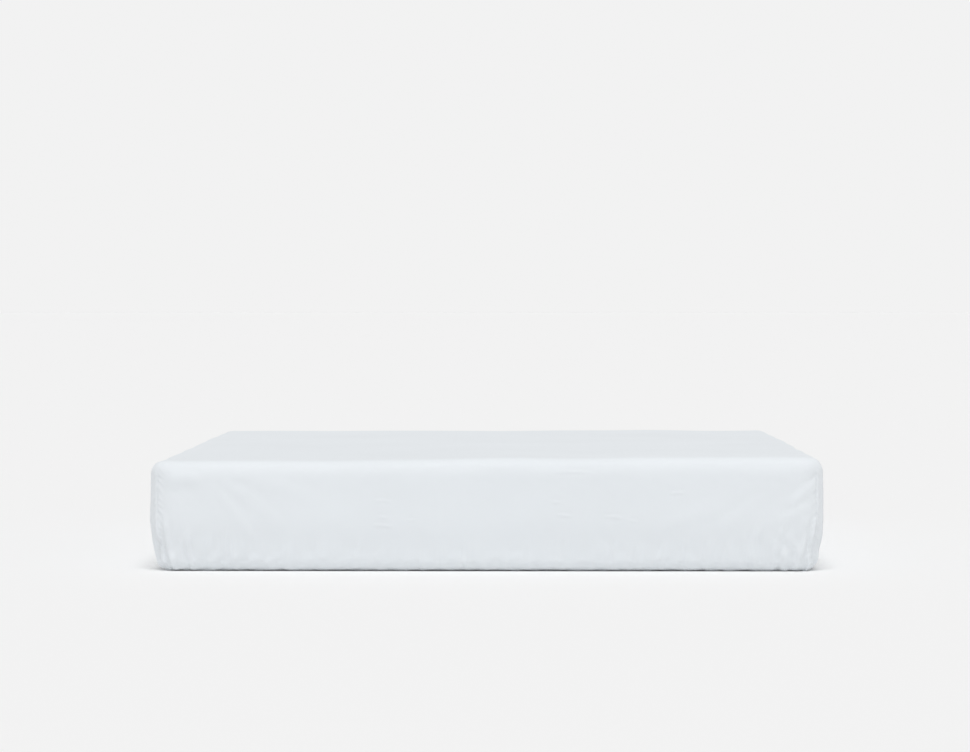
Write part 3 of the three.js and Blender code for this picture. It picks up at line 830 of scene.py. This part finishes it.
def make_zip():
    for name, side in (("outer", -1), ("inner", 1)):
        start, end = sorted([side * (COIL_OFFSET + COIL_RADIUS + GAP), side * TAPE_EDGE])
        tape = [
            zip_ring(end, ZIP_Z + TAPE / 2),
            zip_ring(start, ZIP_Z + TAPE / 2),
            zip_ring(start, ZIP_Z - TAPE / 2),
            zip_ring(end, ZIP_Z - TAPE / 2),
        ]
        layer(f"zip_tape_{name}_cloth", f"zip_tape_{name}", tape, closed=True)
        make_coil(f"zip_coil_{name}_teeth", f"zip_coil_{name}", side)


POINTS_PER_TOOTH = 3
COIL_SIDES = 6


def make_coil(name, node, side):
    """A row of teeth: a rod that narrows once for each turn of the coil."""
    path = along_ring(zip_ring(side * COIL_OFFSET, ZIP_Z), COIL_PITCH)
    count = len(path)
    ahead = unit(np.roll(path, -1, axis=0) - np.roll(path, 1, axis=0))
    out = np.column_stack([ahead[:, 1], -ahead[:, 0], np.zeros(count)])
    radius = COIL_RADIUS * np.where(np.arange(count) % POINTS_PER_TOOTH == 0, COIL_NECK, 1.0)
    rings = []
    for k in range(COIL_SIDES):
        a = 2 * math.pi * k / COIL_SIDES
        rings.append(path + radius[:, None] * (out * math.cos(a) + np.array([0, 0, math.sin(a)])))
    points = np.stack(rings, axis=1).reshape(-1, 3)
    here = np.arange(len(points)).reshape(count, COIL_SIDES)
    there = np.roll(here, -1, axis=0)
    faces = np.stack([here, np.roll(here, -1, 1), np.roll(there, -1, 1), there], axis=-1).reshape(-1, 4)
    coil = make_object(name, points, faces)
    face_outwards(coil)
    stand_for(coil, node)


def along_ring(ring, pitch):
    """Evenly spaced points round a closed ring, for a whole number of teeth."""
    closed = np.vstack([ring, ring[:1]])
    run = distances(closed)
    count = POINTS_PER_TOOTH * round(run[-1] / pitch)
    return interpolate(np.arange(count) * run[-1] / count, run, closed)


def make_metal(node, body, bevel):
    """The CAD piece with its edges broken."""
    piece = frame["nodes"][node].copy()
    piece.data = piece.data.copy()
    piece.name = f"{node}_cast"
    bpy.context.collection.objects.link(piece)
    face_outwards(piece)
    rounded = piece.modifiers.new("rounded", "BEVEL")
    configure(rounded, width=bevel, segments=2, limit_method="ANGLE", harden_normals=True)
    rounded.angle_limit = math.radians(40)
    apply_modifiers(piece)
    set_sharp(piece, 35)
    stand_for(piece, node, body)


def make_elastic():
    low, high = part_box("sheet_elastic")
    outer = HEM_INSET - HEM_WIDTH + ELASTIC_MARGINS[0]
    inner = HEM_INSET - ELASTIC_MARGINS[1]
    band = [
        hem_ring(coarse, outer, high.z),
        hem_ring(coarse, outer, low.z),
        hem_ring(coarse, inner, low.z),
        hem_ring(coarse, inner, high.z),
    ]
    layer("elastic_web", "sheet_elastic", band, closed=True)


def make_label():
    label = make_boxes("care_label_blank", [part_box("cover_care_label")])
    put_points(label.data, soften(points_of(label.data)))
    set_sharp(label, 40)
    stand_for(label, "cover_care_label")


# -------- corner seams

STITCH = 0.0028
STITCH_GAP = 0.0012
THREAD = 0.00028
ALLOWANCE = 0.008  # the two edges of the cloth that the seam joins, folded to one side
ALLOWANCE_DEPTH = 0.0009
ALLOWANCE_THICKNESS = 0.0004
SEAM_BAND = 0.0012  # points this near to a corner's middle give the line of its seam
SEAM_AVERAGE = 15  # each point on the seam is the mean of this many
SEAM_LOW = 0.012
SEAM_HIGH = HEIGHT - 0.008
# Rings along a stitch: how far from its middle, as a share of its length, and how thick.
STITCH_RINGS = ((-0.5, 0.35), (-0.36, 0.85), (0.0, 1.0), (0.36, 0.85), (0.5, 0.35))
STITCH_TIP = 0.53
STITCH_SIDES = 6


def corner_path(sheet, sign_x, sign_y):
    """Evenly spaced points down one corner of the finished sheet, and the way out from each."""
    points, normals = points_of(sheet.data), points_of(sheet.data, "normal")
    near_x = sign_x * points[:, 0] - CORNER_X
    near_y = sign_y * points[:, 1] - CORNER_Y
    z = points[:, 2]
    close = (np.abs(near_x - near_y) < SEAM_BAND) & (near_x > 0.01) & (z > SEAM_LOW) & (z < SEAM_HIGH)
    order = np.argsort(-z[close])
    average = np.ones(SEAM_AVERAGE) / SEAM_AVERAGE
    path, out = [
        np.column_stack([np.convolve(a[close][order][:, k], average, "valid") for k in range(3)])
        for a in (points, normals)
    ]
    run = distances(path)
    at = np.arange(STITCH, run[-1] - STITCH, STITCH + STITCH_GAP)
    return interpolate(at, run, path), interpolate(at, run, out)


def make_corner_seams(sheet):
    """A row of stitches down each corner, with the seam's allowance behind the cloth."""
    for name, sign_x, sign_y in (
        ("foot_left", -1, -1),
        ("foot_right", 1, -1),
        ("head_right", 1, 1),
        ("head_left", -1, 1),
    ):
        path, out = corner_path(sheet, sign_x, sign_y)
        ahead = np.gradient(path, axis=0)
        across = unit(np.cross(ahead, out))
        points, faces = stitch_row(path + out * THREAD * 0.6, ahead, out)
        strip, quads = allowance(path - out * ALLOWANCE_DEPTH, across)
        seam = make_object(
            f"corner_stitching_{name}",
            np.concatenate([points, strip]),
            faces + [[index + len(points) for index in quad] for quad in quads],
        )
        face_outwards(seam)
        stand_for(seam, f"sheet_corner_seam_{name}")


def allowance(path, across):
    """A flat strip along a path, thick enough to be a solid."""
    half = across * ALLOWANCE / 2
    inward = unit(np.cross(across, np.gradient(path, axis=0))) * ALLOWANCE_THICKNESS
    rows = [path - half, path + half, path + half + inward, path - half + inward]
    points = np.stack(rows, axis=1).reshape(-1, 3)
    count = len(path)
    faces = [
        (4 * i + k, 4 * i + (k + 1) % 4, 4 * i + 4 + (k + 1) % 4, 4 * i + 4 + k)
        for i in range(count - 1) for k in range(4)
    ]
    last = 4 * (count - 1)
    faces += [(3, 2, 1, 0), (last, last + 1, last + 2, last + 3)]
    return points, faces


def stitch_faces():
    """One stitch's faces: bands between its rings, and triangles to the tips."""
    last = STITCH_SIDES * (len(STITCH_RINGS) - 1)
    tip = last + STITCH_SIDES
    faces = []
    for k in range(STITCH_SIDES):
        n = (k + 1) % STITCH_SIDES
        for here in range(0, last, STITCH_SIDES):
            there = here + STITCH_SIDES
            faces.append((here + k, here + n, there + n, there + k))
        faces += [(tip, n, k), (tip + 1, last + k, last + n)]
    return faces


def stitch_row(middles, ahead, out):
    """Short threads, each a spindle that is closed at both ends."""
    ahead = unit(ahead)
    across = unit(np.cross(ahead, out))
    up = np.cross(across, ahead)
    points, faces = [], []
    for m, f, a, u in zip(middles, ahead * STITCH, across * THREAD, up * THREAD):
        faces += [[len(points) + index for index in face] for face in stitch_faces()]
        for t, r in STITCH_RINGS:
            for k in range(STITCH_SIDES):
                turn = 2 * math.pi * k / STITCH_SIDES
                points.append(m + f * t + r * (a * math.cos(turn) + u * math.sin(turn)))
        points += [m - f * STITCH_TIP, m + f * STITCH_TIP]
    return np.array(points), faces


# -------- materials


class Look:
    """A material under construction, with short calls for the nodes it needs."""

    def __init__(self, name, colour, roughness, metallic=0.0, sheen=0.0):
        self.material = bpy.data.materials.new(name)
        self.material.use_nodes = True
        self.tree = self.material.node_tree
        self.shader = self.tree.nodes["Principled BSDF"]
        self.colour = colour
        values = {
            "Base Color": (*colour, 1),
            "Roughness": roughness,
            "Metallic": metallic,
            "Sheen Weight": sheen,
            "Sheen Roughness": 0.6,
            "Specular IOR Level": 0.3 if metallic == 0 else 0.5,
        }
        for key, value in values.items():
            self.shader.inputs[key].default_value = value
        self.normal = None

    def node(self, kind, inputs, **settings):
        """A new node, with each input given a value or another node's output."""
        node = configure(self.tree.nodes.new(kind), **settings)
        for key, value in inputs.items():
            if isinstance(value, bpy.types.NodeSocket):
                self.tree.links.new(value, node.inputs[key])
            else:
                node.inputs[key].default_value = value
        return node

    def math(self, operation, a, b=0.0):
        return self.node("ShaderNodeMath", {0: a, 1: b}, operation=operation).outputs[0]

    def place(self, flat):
        """The flat cloth's coordinates, or the object's own, in metres."""
        if flat:
            return self.node("ShaderNodeUVMap", {}, uv_map="cloth").outputs["UV"]
        return self.node("ShaderNodeTexCoord", {}).outputs["Object"]

    def noise(self, size, detail=3.0, stretch=(1, 1, 1), flat=True):
        mapping = self.node("ShaderNodeMapping", {"Vector": self.place(flat), "Scale": stretch})
        inputs = {"Vector": mapping.outputs["Vector"], "Scale": 1 / size, "Detail": detail}
        return self.node("ShaderNodeTexNoise", inputs).outputs["Fac"]

    def cells(self, size, randomness, turn, flat):
        """The distance to the nearest of many points this far apart, as a share of that distance."""
        turned = {"Vector": self.place(flat), "Rotation": (0, 0, math.radians(turn))}
        mapping = self.node("ShaderNodeMapping", turned)
        inputs = {"Vector": mapping.outputs["Vector"], "Scale": 1 / size, "Randomness": randomness}
        return self.node("ShaderNodeTexVoronoi", inputs).outputs["Distance"]

    def wave(self, value, pitch):
        return self.math("SINE", self.math("MULTIPLY", value, 2 * math.pi / pitch))

    def across_and_along(self):
        node = self.node("ShaderNodeSeparateXYZ", {0: self.place(flat=True)})
        return node.outputs[0], node.outputs[1]

    def vary(self, value, dark, light):
        """Colours the surface from dark to light as the value goes from low to high."""
        ramp = self.node("ShaderNodeValToRGB", {"Fac": value})
        for element, position, share in zip(ramp.color_ramp.elements, (0.3, 0.7), (dark, light)):
            element.position = position
            element.color = (*[min(1, c * share) for c in self.colour], 1)
        self.tree.links.new(ramp.outputs["Color"], self.shader.inputs["Base Color"])

    def raise_by(self, value, distance, strength):
        """Adds relief to the surface. Each call goes on top of the one before."""
        inputs = {"Height": value, "Distance": distance, "Strength": strength}
        if self.normal:
            inputs["Normal"] = self.normal
        self.normal = self.node("ShaderNodeBump", inputs).outputs["Normal"]
        self.tree.links.new(self.normal, self.shader.inputs["Normal"])


def weave(look, pitch):
    """The height of a plain weave, whose threads lie this far apart."""
    u, v = look.across_and_along()
    return look.math("MULTIPLY", look.wave(u, 2 * pitch), look.wave(v, 2 * pitch))


def knit(look, pitch):
    """The height of a knit: columns of stitches that lean left and right in turn."""
    u, v = look.across_and_along()
    lean = look.math("MULTIPLY", look.math("ABSOLUTE", look.wave(u, 2 * pitch)), pitch)
    rows = look.wave(look.math("ADD", v, lean), pitch)
    return look.math("MULTIPLY", rows, look.math("ABSOLUTE", look.wave(u, 2 * pitch)))


def cotton_look():
    look = Look("cotton_percale", (0.81, 0.845, 0.875), 0.85, sheen=0.12)
    threads = look.noise(0.0016, detail=2, stretch=(1, 0.12, 1))
    look.vary(look.noise(0.35, detail=4), 0.985, 1.01)
    look.raise_by(look.noise(0.018, detail=5), 0.0006, 0.35)
    look.raise_by(threads, 0.0001, 0.25)
    look.raise_by(weave(look, 0.0004), 0.00006, 0.4)
    return look.material


def knit_look(name, colour, pitch):
    look = Look(name, colour, 0.9, sheen=0.15)
    look.vary(look.noise(0.08), 0.97, 1.02)
    look.raise_by(knit(look, pitch), pitch / 5, 0.35)
    return look.material


def web_look(name, colour, pitch):
    look = Look(name, colour, 0.8, sheen=0.05)
    look.vary(look.noise(0.02), 0.97, 1.02)
    look.raise_by(weave(look, pitch), pitch / 5, 0.35)
    return look.material


def grip_look():
    """A close knit with small raised dots of silicone in a staggered grid."""
    look = Look("grip_cloth", (0.27, 0.29, 0.32), 0.85, sheen=0.1)
    to_dot = look.cells(0.008, randomness=0.0, turn=45, flat=True)
    dome = look.math("MAXIMUM", look.math("SUBTRACT", 1.0, look.math("DIVIDE", to_dot, 0.2)), 0.0)
    dot = look.math("GREATER_THAN", dome, 0.0)
    fine = look.noise(0.004)
    look.vary(look.math("ADD", look.math("MULTIPLY", dot, -0.35), fine), 0.7, 1.1)
    between = look.math("SUBTRACT", 1.0, dot)
    look.raise_by(look.math("MULTIPLY", knit(look, 0.001), between), 0.0002, 0.5)
    look.raise_by(look.math("SQRT", dome), 0.0008, 0.8)
    return look.material


def foam_look(name, colour, cell):
    look = Look(name, colour, 0.95, sheen=0.1)
    look.vary(look.noise(0.05, detail=4, flat=False), 0.95, 1.03)
    look.raise_by(look.cells(cell, randomness=1.0, turn=0, flat=False), cell, 0.6)
    return look.material


def coil_look():
    look = Look("zip_coil", (0.78, 0.78, 0.76), 0.4)
    look.vary(look.noise(0.01, flat=False), 0.96, 1.02)
    look.raise_by(look.noise(0.0008, flat=False), 0.00005, 0.4)
    return look.material


def metal_look():
    look = Look("nickel_plate", (0.62, 0.63, 0.65), 0.3, metallic=1.0)
    look.vary(look.noise(0.003, flat=False), 0.93, 1.04)
    brushed = look.noise(0.0006, detail=2, stretch=(0.15, 1, 1), flat=False)
    look.raise_by(brushed, 0.00004, 0.5)
    return look.material


LOOKS = {
    slot: look(slot, colour, pitch)
    for slot, look, colour, pitch in (
        ("elastic_web", web_look, (0.86, 0.86, 0.84), 0.0008),
        ("zip_tape", web_look, (0.70, 0.70, 0.69), 0.0005),
        ("label_weave", web_look, (0.88, 0.88, 0.86), 0.0004),
        ("cover_knit", knit_look, (0.80, 0.79, 0.76), 0.0011),
        ("sock_knit", knit_look, (0.87, 0.83, 0.70), 0.0010),
        ("memory_foam", foam_look, (0.56, 0.70, 0.82), 0.0009),
        ("transition_foam", foam_look, (0.86, 0.86, 0.81), 0.0014),
        ("support_foam", foam_look, (0.46, 0.49, 0.53), 0.0016),
    )
}
LOOKS["sheet_cotton"] = cotton_look()
LOOKS["grip_cloth"] = grip_look()
LOOKS["zip_coil"] = coil_look()
LOOKS["zinc_alloy"] = metal_look()
SLOTS = {row["node"]: row["material_slot"] for row in frame["record"]["subparts"]}

# -------- making the mattress

sheet = make_sheet()
stand_for(sheet, "fitted_sheet")
make_corner_seams(sheet)
make_elastic()
make_cover()
make_zip()
make_metal("zip_slider", "zip_slider", 0.00015)
make_metal("zip_pull_tab", "zip_pull_tab", 0.0002)
make_metal("zip_start_stop", "root", 0.0001)
make_metal("zip_end_stop", "root", 0.0001)
make_label()
make_fire_barrier()
make_foam()

# -------- studio and camera

FLOOR_REACH = 400
FLOOR_COLOUR = (0.925, 0.925, 0.925)
WALL_TOP = (0.09, 0.887)  # the sine of the height where the wall starts to dim, and its brightness
CEILING = (0.2, 0.57)  # where the ceiling is reached, and its brightness
KEY_DIRECTION = (-0.03, 0.42, -0.91)
KEY_ENERGY = 1.38
KEY_SPREAD = 30  # degrees: a wide light gives soft shadows
CAMERA_PLACE = (0.094, -HALF_LENGTH - 8.64, 0.597)
CAMERA_TILT = 1.03  # degrees below level
CAMERA_TURN = 0.65  # degrees to the left
SENSOR_WIDTH = 36  # millimetres, as the focal length is
FOCAL_LENGTH = 142.5


def make_floor():
    corners = np.array([(-1, -1, 0), (1, -1, 0), (1, 1, 0), (-1, 1, 0)])
    floor = make_object("studio_floor", corners * FLOOR_REACH, [(0, 1, 2, 3)])
    floor.data.materials.append(Look("studio_floor", FLOOR_COLOUR, 0.95).material)


def make_key_light():
    data = bpy.data.lights.new("key", "SUN")
    configure(data, energy=KEY_ENERGY, angle=math.radians(KEY_SPREAD))
    add_to_scene("key", data).rotation_euler = Vector(KEY_DIRECTION).to_track_quat("-Z", "Y").to_euler()


def make_world():
    """A pale wall all round, as bright as the floor, under a dimmer ceiling."""
    world = bpy.data.worlds.new("studio")
    bpy.context.scene.world = world
    world.use_nodes = True
    tree = world.node_tree
    direction = tree.nodes.new("ShaderNodeTexCoord")
    height = tree.nodes.new("ShaderNodeSeparateXYZ")
    ramp = tree.nodes.new("ShaderNodeValToRGB")
    ramp.color_ramp.interpolation = "EASE"
    for element, (position, brightness) in zip(ramp.color_ramp.elements, (WALL_TOP, CEILING)):
        element.position = position
        element.color = (brightness, brightness, brightness, 1)
    tree.links.new(direction.outputs["Generated"], height.inputs[0])
    tree.links.new(height.outputs["Z"], ramp.inputs["Fac"])
    tree.links.new(ramp.outputs["Color"], tree.nodes["Background"].inputs["Color"])


def make_camera():
    data = bpy.data.cameras.new("camera")
    configure(data, sensor_width=SENSOR_WIDTH, lens=FOCAL_LENGTH, clip_end=1000)
    camera = add_to_scene("camera", data)
    camera.location = CAMERA_PLACE
    camera.rotation_euler = (math.radians(90 - CAMERA_TILT), 0, math.radians(CAMERA_TURN))
    bpy.context.scene.camera = camera


make_floor()
make_world()
make_key_light()
make_camera()
bpy.context.scene.view_settings.view_transform = "Standard"
